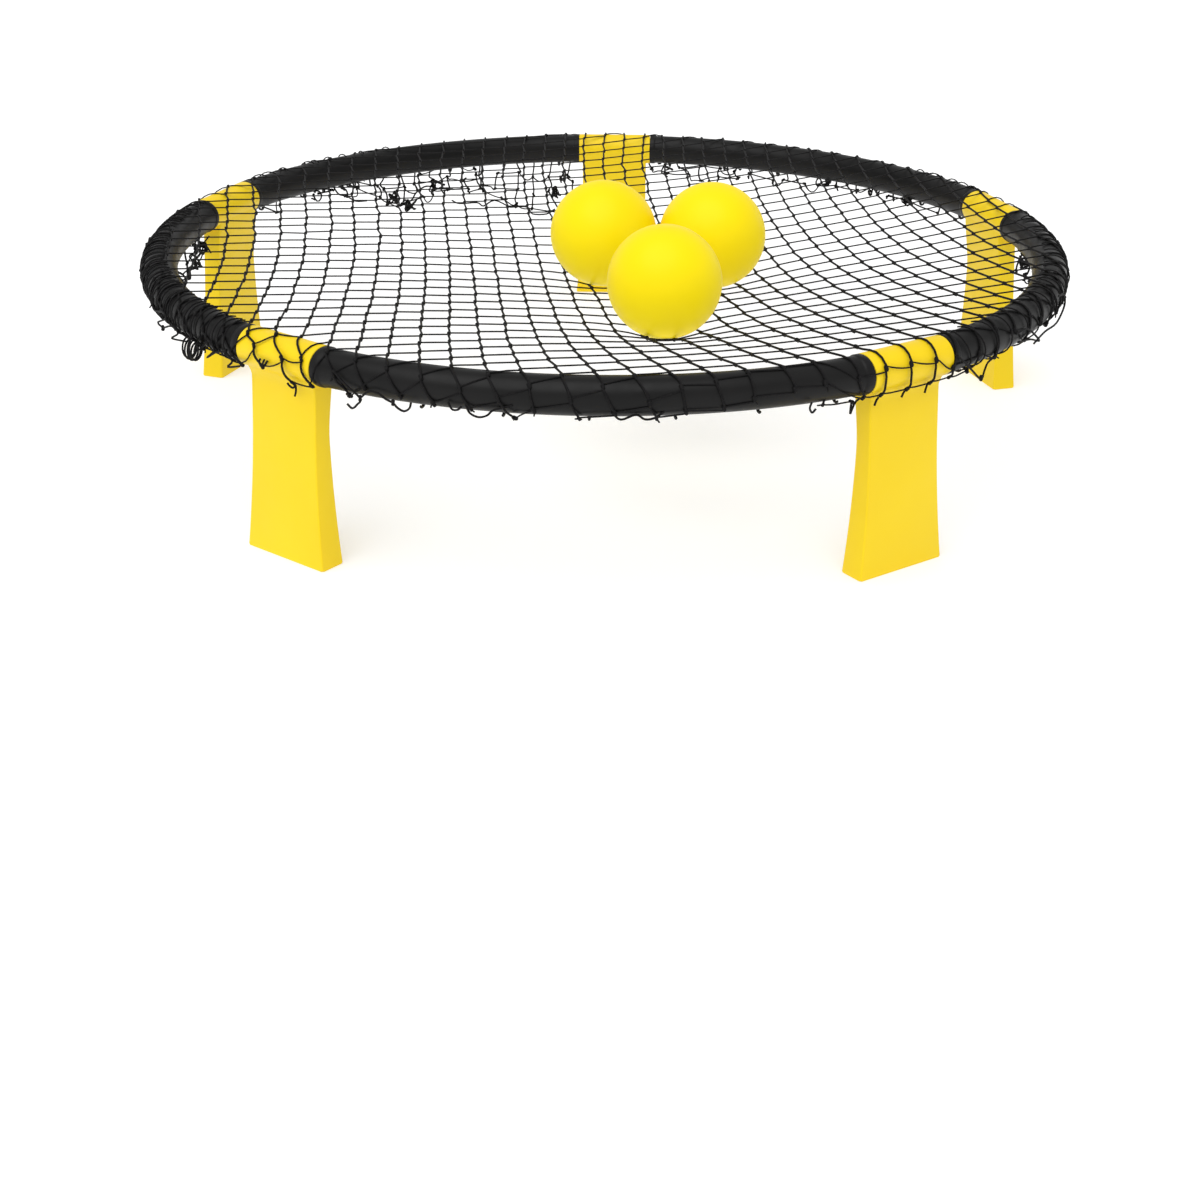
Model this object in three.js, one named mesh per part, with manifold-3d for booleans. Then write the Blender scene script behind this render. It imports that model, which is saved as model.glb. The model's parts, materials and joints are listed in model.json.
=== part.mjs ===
// Roundnet set: a ring of five black tube sections plugged into five yellow folding legs,
// a knotted net stretched over the ring and hooked underneath it, and three inflated balls.
// Millimetres, +Z up. The origin is on the ground at the axis of the ring.

import * as THREE from 'three';
import { mergeVertices } from 'three/addons/utils/BufferGeometryUtils.js';
import Module from 'manifold-3d';

// ---- driving dimensions -------------------------------------------------------------------

const gap = 0.3; // between pieces that touch

const legPlaces = ['rear', 'left', 'front_left', 'front_right', 'right']; // anticlockwise from +Y
const sectionPlaces = ['rear_left', 'left', 'front', 'right', 'rear_right']; // between those legs
const firstLegAzimuth = 90;
const legPitch = 360 / legPlaces.length;

const ring = { radius: 440, tube: 16.5, wall: 2.8, height: 182 };
const sleeve = { length: 87, radius: 17.4, bore: 13.6 };
const collar = { radius: 17.4, length: 7, overTube: 3, overWall: 2 };
const spigot = { radius: sleeve.bore - gap, bore: 10.6, halfGap: 1, intoCollar: 2 };
const hook = { perSection: 7, fromLeg: 9, width: 6, thickness: 2.2, drop: 6, reach: 6, lip: 2.5 };

// The leg's slab, measured from the axis that the leg folds about.
const leg = {
  wall: 2.6,
  top: -6,
  outerTop: 5.2,
  outerBottom: 15.2,
  innerTop: -8.6,
  innerBottom: -9.6,
  waistHalfWidth: 38.8,
  footHalfWidth: 46.4,
  waistBelowAxis: 62,
  flare: 1.8,
  pocketTop: -24,
  blankDepth: 60, // of the flat blank that the slab is cut from
};
const plug = { thickness: 5, recess: 1.2, fingerHole: 4 };

const net = { thickness: 1.5, clearance: 1, wrapDownTo: -50, rings: 6, wrapSteps: 6, segments: 60 };
// The net hangs lowest under the balls, and rises to the top of the ring all round.
const dip = { depth: 43, x: 62, y: -185, spread: 260, edgePower: 4 };

const ball = { radius: 51, wall: 2.5, liftOff: 1.2 };
const ballPlaces = { left: [1, -87.5], right: [105.6, -88.1], front: [59.4, -245.9] };
const valve = {
  radius: 3.2, length: 6, recess: 0.4, needle: 0.6, flange: 5.5, flangeThickness: 1.5, flangeGap: 2,
};

// Sides of each round form: fine where it shows or turns, coarse inside.
const sides = {
  tube: 16, tubeBore: 10, collar: 20, spigot: 18, spigotBore: 10,
  sleeve: 28, fingerHole: 16, valve: 12, valveFlange: 16, needle: 8,
};
const outlineSteps = 10; // in the rounded parts of an outline

const foldRadius = Math.sqrt(ring.radius ** 2 - (sleeve.length / 2) ** 2);

// ---- finishes -------------------------------------------------------------------------------

function finish(color, roughness) {
  return new THREE.MeshStandardMaterial({ color, roughness, metalness: 0 });
}

const tubePlastic = finish(0x232326, 0.42);
const legPlastic = finish(0xf7d60a, 0.38);
const plugRubber = finish(0x1d1d1f, 0.8);
const netCord = finish(0x151517, 0.75);
const ballRubber = finish(0xf9dc0c, 0.35);
const valveRubber = finish(0xd9b90a, 0.6);

// ---- solids -----------------------------------------------------------------------------------

const wasm = await Module();
wasm.setup();

const xAxis = new THREE.Vector3(1, 0, 0);
const yAxis = new THREE.Vector3(0, 1, 0);
const zAxis = new THREE.Vector3(0, 0, 1);

/** A three.js geometry as a solid that can be cut and joined. */
function solid(geometry) {
  const bare = geometry.index ? geometry.clone() : geometry;
  bare.deleteAttribute('normal');
  bare.deleteAttribute('uv');
  const merged = mergeVertices(bare, 1e-4);
  const index = Array.from(merged.index.array);
  const kept = [];
  for (let i = 0; i < index.length; i += 3) {
    const [a, b, c] = index.slice(i, i + 3);
    if (a !== b && b !== c && c !== a) kept.push(a, b, c);
  }
  return new wasm.Manifold(new wasm.Mesh({
    numProp: 3,
    vertProperties: new Float32Array(merged.attributes.position.array),
    triVerts: new Uint32Array(kept),
  }));
}

/** A named mesh from a solid. */
function meshOf(name, body, material) {
  const { vertProperties, triVerts } = body.getMesh();
  const geometry = new THREE.BufferGeometry();
  geometry.setAttribute('position', new THREE.BufferAttribute(vertProperties, 3));
  geometry.setIndex(new THREE.BufferAttribute(triVerts, 1));
  geometry.computeVertexNormals();
  const mesh = new THREE.Mesh(geometry, material);
  mesh.name = name;
  return mesh;
}

/** An outline of radial and vertical distances, as a slab of the given width across. */
function radialSlab(outline, width) {
  const geometry = new THREE.ExtrudeGeometry(outline, {
    depth: width, bevelEnabled: false, curveSegments: outlineSteps,
  });
  geometry.applyMatrix4(new THREE.Matrix4().makeBasis(xAxis, zAxis, yAxis.clone().negate()));
  return solid(geometry.translate(0, width / 2, 0));
}

/** An outline of sideways and vertical distances, as a slab of the given depth along the radius. */
function frontalSlab(outline, depth) {
  const geometry = new THREE.ExtrudeGeometry(outline, {
    depth, bevelEnabled: false, curveSegments: outlineSteps,
  });
  geometry.applyMatrix4(new THREE.Matrix4().makeBasis(yAxis, zAxis, xAxis));
  return solid(geometry.translate(-depth / 2, 0, 0));
}

// ---- ring sections ------------------------------------------------------------------------------

/** A stretch of the ring's centreline, from one azimuth to another in degrees. */
class RingArc extends THREE.Curve {
  constructor(from, to) {
    super();
    this.from = THREE.MathUtils.degToRad(from);
    this.to = THREE.MathUtils.degToRad(to);
  }

  getPoint(t, target = new THREE.Vector3()) {
    const azimuth = this.from + (this.to - this.from) * t;
    return target.set(ring.radius * Math.cos(azimuth), ring.radius * Math.sin(azimuth), 0);
  }
}

/** Half of the angle that a section's bent part covers, when it starts this far from the leg's middle. */
function bentHalfAngle(fromLegMiddle) {
  return legPitch / 2 - THREE.MathUtils.radToDeg(Math.asin(fromLegMiddle / ring.radius));
}

function bentRod(radius, fromLegMiddle, around, steps) {
  const half = bentHalfAngle(fromLegMiddle);
  const section = new THREE.Shape().absarc(0, 0, radius, 0, 2 * Math.PI);
  return solid(new THREE.ExtrudeGeometry(section, {
    extrudePath: new RingArc(-half, half),
    steps,
    curveSegments: around / 2,
    bevelEnabled: false,
  }));
}

/** A straight rod on the fold axis of the leg at one end of a section; end is -1 or 1. */
function rodOnFoldAxis(radius, from, to, end, around) {
  const rod = new THREE.CylinderGeometry(radius, radius, to - from, around);
  rod.translate(foldRadius, -end * (from + to) / 2, 0);
  return solid(rod.rotateZ(end * THREE.MathUtils.degToRad(legPitch / 2)));
}

function hookAt(azimuth) {
  const top = -ring.tube + 1;
  const foot = -ring.tube - hook.drop;
  const back = -hook.thickness / 2;
  const outline = new THREE.Shape([
    new THREE.Vector2(back, top),
    new THREE.Vector2(back, foot),
    new THREE.Vector2(back + hook.reach, foot),
    new THREE.Vector2(back + hook.reach, foot + hook.thickness + hook.lip),
    new THREE.Vector2(back + hook.reach - hook.thickness / 2, foot + hook.thickness + hook.lip),
    new THREE.Vector2(back + hook.reach - hook.thickness, foot + hook.thickness),
    new THREE.Vector2(-back, foot + hook.thickness),
    new THREE.Vector2(-back, top),
  ]);
  return radialSlab(outline, hook.width).translate([ring.radius, 0, 0]).rotate([0, 0, azimuth]);
}

/** One section: a bent tube with a collar, a spigot at each end, and net hooks underneath. */
function ringSection() {
  const collarFrom = sleeve.length / 2 + gap;
  const collarTo = collarFrom + collar.length;
  const spigotTo = collarFrom + spigot.intoCollar;
  let body = bentRod(ring.tube, collarTo - collar.overTube, sides.tube, 10);
  for (const end of [-1, 1]) {
    body = body.add(rodOnFoldAxis(collar.radius, collarFrom, collarTo, end, sides.collar));
    body = body.add(rodOnFoldAxis(spigot.radius, spigot.halfGap, spigotTo, end, sides.spigot));
  }
  const hookSpan = legPitch / 2 - hook.fromLeg;
  for (let i = 0; i < hook.perSection; i += 1) {
    body = body.add(hookAt(-hookSpan + 2 * hookSpan * i / (hook.perSection - 1)));
  }
  const inside = bentRod(ring.tube - ring.wall, collarTo - collar.overWall, sides.tubeBore, 8);
  body = body.subtract(inside);
  for (const end of [-1, 1]) {
    body = body.subtract(rodOnFoldAxis(spigot.bore, 0, collarTo, end, sides.spigotBore));
  }
  return body;
}

// ---- legs -----------------------------------------------------------------------------------------

/** Half of the slab's width, this far below the fold axis. */
function halfWidth(below) {
  const share = Math.max(0, (below - leg.waistBelowAxis) / (ring.height - leg.waistBelowAxis));
  return leg.waistHalfWidth + (leg.footHalfWidth - leg.waistHalfWidth) * share ** leg.flare;
}

/** The slab seen from outside the ring, drawn in by inset, between two heights. */
function frontOutline(inset, bottom, top) {
  const steps = 8;
  const side = [];
  for (let i = 0; i <= steps; i += 1) {
    const z = bottom + (top - bottom) * i / steps;
    side.push(new THREE.Vector2(halfWidth(-z) - inset, z));
  }
  const mirrored = side.map((p) => new THREE.Vector2(-p.x, p.y)).reverse();
  return new THREE.Shape([...side, ...mirrored]);
}

/** The slab seen from its side: a wedge that is thickest at the foot. */
function sideOutline(inset, bottom, top) {
  const share = (z) => (leg.top - z) / (leg.top + ring.height);
  const outer = (z) => leg.outerTop + (leg.outerBottom - leg.outerTop) * share(z) - inset;
  const inner = (z) => leg.innerTop + (leg.innerBottom - leg.innerTop) * share(z) ** 3 + inset;
  const middle = (bottom + top) / 2;
  return new THREE.Shape([
    new THREE.Vector2(outer(top), top),
    new THREE.Vector2(inner(top), top),
    new THREE.Vector2(inner(middle), middle),
    new THREE.Vector2(inner(bottom), bottom),
    new THREE.Vector2(outer(bottom), bottom),
  ]);
}

function slab(inset, bottom, top) {
  const width = 2 * leg.footHalfWidth + 10;
  return frontalSlab(frontOutline(inset, bottom, top), leg.blankDepth)
    .intersect(radialSlab(sideOutline(inset, bottom, top), width));
}

/** One leg: a sleeve that the ring turns in, and a hollow slab cored from its foot. */
function legBody() {
  const barrel = new THREE.CylinderGeometry(sleeve.radius, sleeve.radius, sleeve.length, sides.sleeve);
  const bore = new THREE.CylinderGeometry(sleeve.bore, sleeve.bore, sleeve.length + 2, sides.sleeve);
  return solid(barrel)
    .add(slab(0, -ring.height, leg.top))
    .subtract(solid(bore))
    .subtract(slab(leg.wall, -ring.height, leg.pocketTop).translate([0, 0, -0.01]));
}

/** The plug that closes the slab's open foot, with a hole to pull it out by. */
function footPlug() {
  const bottom = -ring.height + plug.recess;
  const middle = (leg.outerBottom + leg.innerBottom) / 2;
  const hole = new THREE.CylinderGeometry(plug.fingerHole, plug.fingerHole, 40, sides.fingerHole);
  hole.rotateX(Math.PI / 2).translate(middle, 0, bottom);
  return slab(leg.wall + gap, bottom, bottom + plug.thickness).subtract(solid(hole));
}

// ---- net --------------------------------------------------------------------------------------------

const netInside = collar.radius + net.clearance;
const netOutside = netInside + net.thickness;

/** How far the net hangs below the top of the ring. */
function dipAt(x, y) {
  const edge = Math.max(0, 1 - (Math.hypot(x, y) / ring.radius) ** dip.edgePower);
  const away = ((x - dip.x) ** 2 + (y - dip.y) ** 2) / dip.spread ** 2;
  return dip.depth * edge / (1 + away);
}

/** The net as a plain skin: a shallow dish whose edge goes over the ring and down its outside. */
function netBody() {
  // The flats between corners stay clear of the round tube, so the corners stand out a little.
  const stepAngle = THREE.MathUtils.degToRad((90 - net.wrapDownTo) / net.wrapSteps);
  const roundOut = 1 / Math.cos(Math.PI / net.segments);
  const over = (radius, angle) => {
    const reach = radius / Math.cos(stepAngle / 2);
    const outward = reach * Math.cos(angle);
    const radial = ring.radius + Math.max(0, outward);
    return new THREE.Vector2(radial * (outward > 1 ? roundOut : 1), reach * Math.sin(angle));
  };
  const bed = (z) => {
    const line = [];
    for (let i = 0; i < net.rings; i += 1) {
      line.push(new THREE.Vector2(ring.radius * i / net.rings, z));
    }
    return line;
  };
  const arc = (radius) => {
    const points = [];
    for (let i = 0; i <= net.wrapSteps; i += 1) {
      points.push(over(radius, Math.PI / 2 - stepAngle * i));
    }
    return points;
  };
  const under = [...bed(netInside), ...arc(netInside)];
  const above = [...bed(netOutside), ...arc(netOutside)].reverse();
  const skin = new THREE.LatheGeometry([...under, ...above], net.segments);
  skin.rotateX(Math.PI / 2);
  const place = skin.attributes.position;
  for (let i = 0; i < place.count; i += 1) {
    const [x, y, z] = [place.getX(i), place.getY(i), place.getZ(i)];
    if (Math.hypot(x, y) < ring.radius - 1) place.setZ(i, z - dipAt(x, y));
  }
  return solid(skin);
}

// ---- balls --------------------------------------------------------------------------------------------

const valveDirection = { left: [-0.5, 0.7, 0.2], right: [0.55, 0.7, -0.1], front: [0.3, 0.8, -0.45] };

function ballBody() {
  const outer = new THREE.SphereGeometry(ball.radius, 20, 14);
  const inner = new THREE.SphereGeometry(ball.radius - ball.wall, 12, 8);
  const fit = valve.radius + gap;
  const hole = new THREE.CylinderGeometry(fit, fit, 20, sides.valve);
  hole.translate(0, ball.radius, 0);
  return solid(outer).subtract(solid(inner)).subtract(solid(hole));
}

/** A rubber plug through the ball's wall, held by a flange inside. */
function valveBody() {
  const top = ball.radius - valve.recess;
  const flangeTop = ball.radius - ball.wall - valve.flangeGap;
  const stem = new THREE.CylinderGeometry(valve.radius, valve.radius, valve.length, sides.valve);
  stem.translate(0, top - valve.length / 2, 0);
  const { flange: flangeRadius, flangeThickness: thickness } = valve;
  const flange = new THREE.CylinderGeometry(flangeRadius, flangeRadius, thickness, sides.valveFlange);
  flange.translate(0, flangeTop - thickness / 2, 0);
  const needleHole = new THREE.CylinderGeometry(valve.needle, valve.needle, 3, sides.needle);
  needleHole.translate(0, top, 0);
  return solid(stem).add(solid(flange)).subtract(solid(needleHole));
}

/** The height of a ball's middle when it rests in the net's dip. */
function ballHeight([x, y]) {
  const reach = 40;
  const step = 4;
  let height = 0;
  for (let dx = -reach; dx <= reach; dx += step) {
    for (let dy = -reach; dy <= reach; dy += step) {
      const squared = dx * dx + dy * dy;
      if (squared > reach ** 2) continue;
      const surface = ring.height + netOutside - dipAt(x + dx, y + dy);
      height = Math.max(height, surface + Math.sqrt(ball.radius ** 2 - squared));
    }
  }
  return height + ball.liftOff;
}

// ---- the set ----------------------------------------------------------------------------------------

const roundnet = new THREE.Group();

const section = ringSection();
sectionPlaces.forEach((place, i) => {
  const mesh = meshOf(`rim_${place}`, section, tubePlastic);
  mesh.position.z = ring.height;
  mesh.rotation.z = THREE.MathUtils.degToRad(firstLegAzimuth + legPitch * (i + 0.5));
  roundnet.add(mesh);
});

const legSolid = legBody();
const plugSolid = footPlug();
legPlaces.forEach((place, i) => {
  const azimuth = THREE.MathUtils.degToRad(firstLegAzimuth + legPitch * i);
  const stand = new THREE.Group();
  stand.position.set(foldRadius * Math.cos(azimuth), foldRadius * Math.sin(azimuth), ring.height);
  stand.rotation.z = azimuth;
  stand.add(meshOf(`leg_${place}`, legSolid, legPlastic));
  stand.add(meshOf(`foot_plug_${place}`, plugSolid, plugRubber));
  roundnet.add(stand);
});

const netMesh = meshOf('net', netBody(), netCord);
netMesh.position.z = ring.height;
roundnet.add(netMesh);

const shell = ballBody();
const stopper = valveBody();
for (const [name, place] of Object.entries(ballPlaces)) {
  const one = new THREE.Group();
  one.position.set(place[0], place[1], ballHeight(place));
  one.quaternion.setFromUnitVectors(yAxis, new THREE.Vector3(...valveDirection[name]).normalize());
  one.add(meshOf(`ball_${name}`, shell, ballRubber));
  one.add(meshOf(`ball_valve_${name}`, stopper, valveRubber));
  roundnet.add(one);
}

export default roundnet;
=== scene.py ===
"""Looks of a roundnet set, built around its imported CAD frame.

Metres, +Z up, origin on the ground at the ring's axis, the rear leg towards +Y.
"""

import json
import math

import bmesh
import bpy
import numpy as np
from mathutils import Matrix, Vector


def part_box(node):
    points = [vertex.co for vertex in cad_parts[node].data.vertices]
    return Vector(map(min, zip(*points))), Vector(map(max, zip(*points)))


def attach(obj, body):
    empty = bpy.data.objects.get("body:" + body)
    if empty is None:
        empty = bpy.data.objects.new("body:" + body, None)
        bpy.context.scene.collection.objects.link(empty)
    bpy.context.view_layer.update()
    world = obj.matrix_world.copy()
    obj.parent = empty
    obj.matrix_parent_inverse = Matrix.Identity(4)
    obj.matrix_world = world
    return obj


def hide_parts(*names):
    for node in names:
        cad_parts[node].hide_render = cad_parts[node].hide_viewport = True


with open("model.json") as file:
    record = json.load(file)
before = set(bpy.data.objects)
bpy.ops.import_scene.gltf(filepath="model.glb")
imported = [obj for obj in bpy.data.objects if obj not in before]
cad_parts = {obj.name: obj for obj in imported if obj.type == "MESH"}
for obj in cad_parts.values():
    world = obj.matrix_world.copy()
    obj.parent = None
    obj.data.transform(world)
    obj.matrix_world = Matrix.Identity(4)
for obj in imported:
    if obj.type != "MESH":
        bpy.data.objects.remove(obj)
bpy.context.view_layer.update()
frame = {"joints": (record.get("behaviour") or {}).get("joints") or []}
JOINTS = {j["name"]: j for j in frame["joints"]}
LEGS = ("rear", "left", "front_left", "front_right", "right")
SECTIONS = ("rear_left", "left", "front", "right", "rear_right")
BALLS = ("left", "right", "front")

MM = 0.001
RING = 440 * MM  # radius of the ring tube's centreline
RING_Z = JOINTS["leg_fold_rear"]["pos_m"][2]  # its height
FOLD = math.hypot(*JOINTS["leg_fold_rear"]["pos_m"][:2])  # from the ring's axis to a fold axis
TUBE = 16.5 * MM  # radii of the tube, the sleeves, the spigots and the sleeves' bore
SLEEVE = 17.4 * MM
SPIGOT = 13.3 * MM
BORE = 13.6 * MM
# From the middle of a leg: the sleeve's end, where the collar starts, where the tube starts to
# bend and where the collar ends.
SLEEVE_HALF = 43.5 * MM
COLLAR_START = 43.8 * MM
BEND_START = 47.8 * MM
COLLAR_END = 50.8 * MM
HALF_SECTION = math.radians(36)
LEG_AZIMUTH = {
    leg: math.atan2(*JOINTS[f"leg_fold_{leg}"]["pos_m"][1::-1]) for leg in LEGS
}
BALL_RADIUS = 51 * MM
BALL_PLACE = {b: (sum(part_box(f"ball_{b}"), Vector()) / 2) for b in BALLS}
CAMERA_PLACE = (0.0475, -1.8192, 0.6933)
CAMERA_YAW, CAMERA_DOWN, CAMERA_ROLL = (math.radians(a) for a in (1.62, 20.56, 0.315))
CAMERA_LENS, CAMERA_SHIFT = 55.71, -0.1642  # mm on a 36 mm sensor, share of the picture

rng = np.random.default_rng(20)


# ---- camera, light and floor ----------------------------------------------------------------


def make_camera():
    data = bpy.data.cameras.new("camera")
    data.sensor_width = 36
    data.lens = CAMERA_LENS
    data.shift_y = CAMERA_SHIFT
    camera = bpy.data.objects.new("camera", data)
    bpy.context.scene.collection.objects.link(camera)
    turn = (
        Matrix.Rotation(CAMERA_YAW, 4, "Z")
        @ Matrix.Rotation(math.pi / 2 - CAMERA_DOWN, 4, "X")
        @ Matrix.Rotation(CAMERA_ROLL, 4, "Z")
    )
    camera.matrix_world = Matrix.Translation(CAMERA_PLACE) @ turn
    bpy.context.scene.camera = camera


def make_world():
    """A white room, a little brighter near the horizon than overhead."""
    world = bpy.data.worlds.new("studio")
    world.use_nodes = True
    nodes, links = world.node_tree.nodes, world.node_tree.links
    background = nodes["Background"]
    background.inputs["Color"].default_value = (1, 1, 1, 1)
    direction = nodes.new("ShaderNodeTexCoord")
    parts = nodes.new("ShaderNodeSeparateXYZ")
    links.new(direction.outputs["Generated"], parts.inputs["Vector"])
    brightness = nodes.new("ShaderNodeMapRange")
    brightness.interpolation_type = "SMOOTHSTEP"
    steepness = {"From Min": 0.05, "From Max": 0.45}
    strength = {"To Min": 1.0, "To Max": 0.6}
    for socket, value in {**steepness, **strength}.items():
        brightness.inputs[socket].default_value = value
    links.new(parts.outputs["Z"], brightness.inputs["Value"])
    links.new(brightness.outputs["Result"], background.inputs["Strength"])
    bpy.context.scene.world = world


def make_softbox():
    data = bpy.data.lights.new("softbox", "SUN")
    data.angle, data.energy = math.radians(60), 1.75
    light = bpy.data.objects.new("softbox", data)
    bpy.context.scene.collection.objects.link(light)
    light.rotation_mode = "QUATERNION"
    light.rotation_quaternion = Vector((-0.18, -0.38, 0.9)).to_track_quat("Z", "Y")


def make_floor():
    """Pale paper that glows slightly, so that its shadows stay faint."""
    mesh = bpy.data.meshes.new("floor")
    half, under_feet = 14, 0.6 * MM
    corners = [(-half, -half, 0), (half, -half, 0), (half, half, 0), (-half, half, 0)]
    mesh.from_pydata(corners, [], [(0, 1, 2, 3)])
    floor = bpy.data.objects.new("floor", mesh)
    bpy.context.scene.collection.objects.link(floor)
    floor.location.z = -under_feet
    material, shader = new_material("floor_paper", (0.7, 0.7, 0.7), 0.9)
    shader.inputs["Specular IOR Level"].default_value = 0.1
    shader.inputs["Emission Color"].default_value = (1, 1, 1, 1)
    shader.inputs["Emission Strength"].default_value = 0.4
    mesh.materials.append(material)


# ---- materials ------------------------------------------------------------------------------


def new_material(name, colour, roughness):
    material = bpy.data.materials.new(name)
    material.use_nodes = True
    shader = material.node_tree.nodes["Principled BSDF"]
    shader.inputs["Base Color"].default_value = (*colour, 1)
    shader.inputs["Roughness"].default_value = roughness
    return material, shader


def noise(tree, scale, detail, distortion=0.0):
    """Noise in the object's own coordinates."""
    place = tree.nodes.new("ShaderNodeTexCoord")
    texture = tree.nodes.new("ShaderNodeTexNoise")
    texture.inputs["Scale"].default_value = scale
    texture.inputs["Detail"].default_value = detail
    texture.inputs["Distortion"].default_value = distortion
    tree.links.new(place.outputs["Object"], texture.inputs["Vector"])
    return texture.outputs["Fac"]


def ramp(tree, value, low, high, start=0.3, end=0.7):
    """value turned into a colour or number that runs from low to high."""
    node = tree.nodes.new("ShaderNodeValToRGB")
    node.color_ramp.elements[0].position = start
    node.color_ramp.elements[1].position = end
    for element, shade in zip(node.color_ramp.elements, (low, high)):
        element.color = (*shade, 1) if hasattr(shade, "__len__") else (shade,) * 3 + (1,)
    tree.links.new(value, node.inputs["Fac"])
    return node.outputs["Color"]


def bump(tree, shader, heights):
    """Bumps chained from (height socket, distance in metres, strength)."""
    normal = None
    for height, distance, strength in heights:
        node = tree.nodes.new("ShaderNodeBump")
        node.inputs["Distance"].default_value = distance
        node.inputs["Strength"].default_value = strength
        tree.links.new(height, node.inputs["Height"])
        if normal is not None:
            tree.links.new(normal, node.inputs["Normal"])
        normal = node.outputs["Normal"]
    tree.links.new(normal, shader.inputs["Normal"])


def moulded(name, dark, light, rough, specular, grain, grain_depth):
    """Moulded plastic or rubber: slightly uneven colour and gloss, and a fine sparked grain."""
    rough_low, rough_high = rough
    material, shader = new_material(name, light, rough_low)
    tree = material.node_tree
    shader.inputs["Specular IOR Level"].default_value = specular
    broad = noise(tree, 9, 3)
    tree.links.new(ramp(tree, broad, dark, light), shader.inputs["Base Color"])
    patchy = noise(tree, 60, 4, 0.3)
    tree.links.new(ramp(tree, patchy, rough_low, rough_high), shader.inputs["Roughness"])
    fine, waviness = noise(tree, grain, 2), noise(tree, 45, 2)
    bump(tree, shader, [(fine, grain_depth, 0.35), (waviness, 0.4 * MM, 0.12)])
    return material


def cord_material(name):
    """Black braided nylon: a fine crossing braid, a dull sheen and greyer worn fibres."""
    material, shader = new_material(name, (0.008, 0.008, 0.009), 0.6)
    tree = material.node_tree
    shader.inputs["Specular IOR Level"].default_value = 0.12
    fibres = noise(tree, 420, 3, 0.6)
    tree.links.new(
        ramp(tree, fibres, (0.004, 0.004, 0.0045), (0.013, 0.012, 0.012), 0.35, 0.75),
        shader.inputs["Base Color"],
    )
    tree.links.new(ramp(tree, fibres, 0.5, 0.75), shader.inputs["Roughness"])
    braid = tree.nodes.new("ShaderNodeTexVoronoi")
    braid.inputs["Scale"].default_value = 1100
    place = tree.nodes.new("ShaderNodeTexCoord")
    tree.links.new(place.outputs["Object"], braid.inputs["Vector"])
    bump(tree, shader, [(braid.outputs["Distance"], 0.3 * MM, 0.6)])
    return material


# ---- mesh helpers ---------------------------------------------------------------------------


class Builder:
    """Collects tubes and grids of vertices into one mesh."""

    def __init__(self):
        self.verts, self.faces, self.count = [], [], 0

    def grid(self, points):
        """points has shape (rings, sides, 3). The first and last rings are closed by caps."""
        rings, sides, _ = points.shape
        base = self.count
        self.verts.append(points.reshape(-1, 3))
        self.count += rings * sides
        ring = np.arange(rings - 1)[:, None] * sides
        a = np.arange(sides)[None]
        b = (a + 1) % sides
        quads = np.stack([ring + a, ring + b, ring + b + sides, ring + a + sides], -1)
        self.faces.extend((quads.reshape(-1, 4) + base).tolist())
        self.faces.append([base + i for i in range(sides - 1, -1, -1)])
        last = base + (rings - 1) * sides
        self.faces.append([last + i for i in range(sides)])

    def tube(self, points, radius, sides, normals=None):
        """A tube along points. normals holds a direction across the tube at each point."""
        points = np.asarray(points, float)
        along = np.gradient(points, axis=0)
        along /= np.linalg.norm(along, axis=1)[:, None] + 1e-12
        if normals is None:
            normals = carried_normals(along)
        across = np.cross(along, normals)
        across /= np.linalg.norm(across, axis=1)[:, None] + 1e-12
        up = np.cross(across, along)
        turn = np.linspace(0, 2 * np.pi, sides, endpoint=False)
        radius = np.broadcast_to(np.asarray(radius, float), len(points))[:, None, None]
        ring = (
            across[:, None] * np.cos(turn)[None, :, None]
            + up[:, None] * np.sin(turn)[None, :, None]
        )
        self.grid(points[:, None] + ring * radius)

    def object(self, name, material, body, slot, replaced=()):
        mesh = bpy.data.meshes.new(name)
        mesh.from_pydata(np.concatenate(self.verts).tolist(), [], self.faces)
        add_piece(name, mesh, material, body, replaced)


def carried_normals(along):
    """Directions across a curve that turn as little as they can from point to point."""
    start = np.array([0, 0, 1.0]) if abs(along[0][2]) < 0.9 else np.array([1.0, 0, 0])
    normals = []
    for direction in along:
        start = start - direction * (start @ direction)
        start /= np.linalg.norm(start) + 1e-12
        normals.append(start)
    return np.array(normals)


def add_piece(name, mesh, material, body, replaced=(), angle=30):
    mesh.validate()
    mesh.materials.append(material)
    for polygon in mesh.polygons:
        polygon.use_smooth = True
    mesh.set_sharp_from_angle(angle=math.radians(angle))
    piece = bpy.data.objects.new(name, mesh)
    bpy.context.scene.collection.objects.link(piece)
    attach(piece, body)
    if replaced:
        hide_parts(*replaced)


def mesh_of(made, name):
    bmesh.ops.recalc_face_normals(made, faces=made.faces)
    mesh = bpy.data.meshes.new(name)
    made.to_mesh(mesh)
    made.free()
    return mesh


def combined(base, others, operation):
    """base joined with, or cut by, the other meshes."""
    thing = bpy.data.objects.new("working", base)
    bpy.context.scene.collection.objects.link(thing)
    helpers = []
    for other in others:
        helper = bpy.data.objects.new("helper", other)
        bpy.context.scene.collection.objects.link(helper)
        helpers.append(helper)
        modifier = thing.modifiers.new("step", "BOOLEAN")
        modifier.operation, modifier.object, modifier.solver = operation, helper, "EXACT"
    bpy.context.view_layer.update()
    graph = bpy.context.evaluated_depsgraph_get()
    result = bpy.data.meshes.new_from_object(thing.evaluated_get(graph))
    for spent in [thing, *helpers]:
        bpy.data.objects.remove(spent)
    return result


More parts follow.
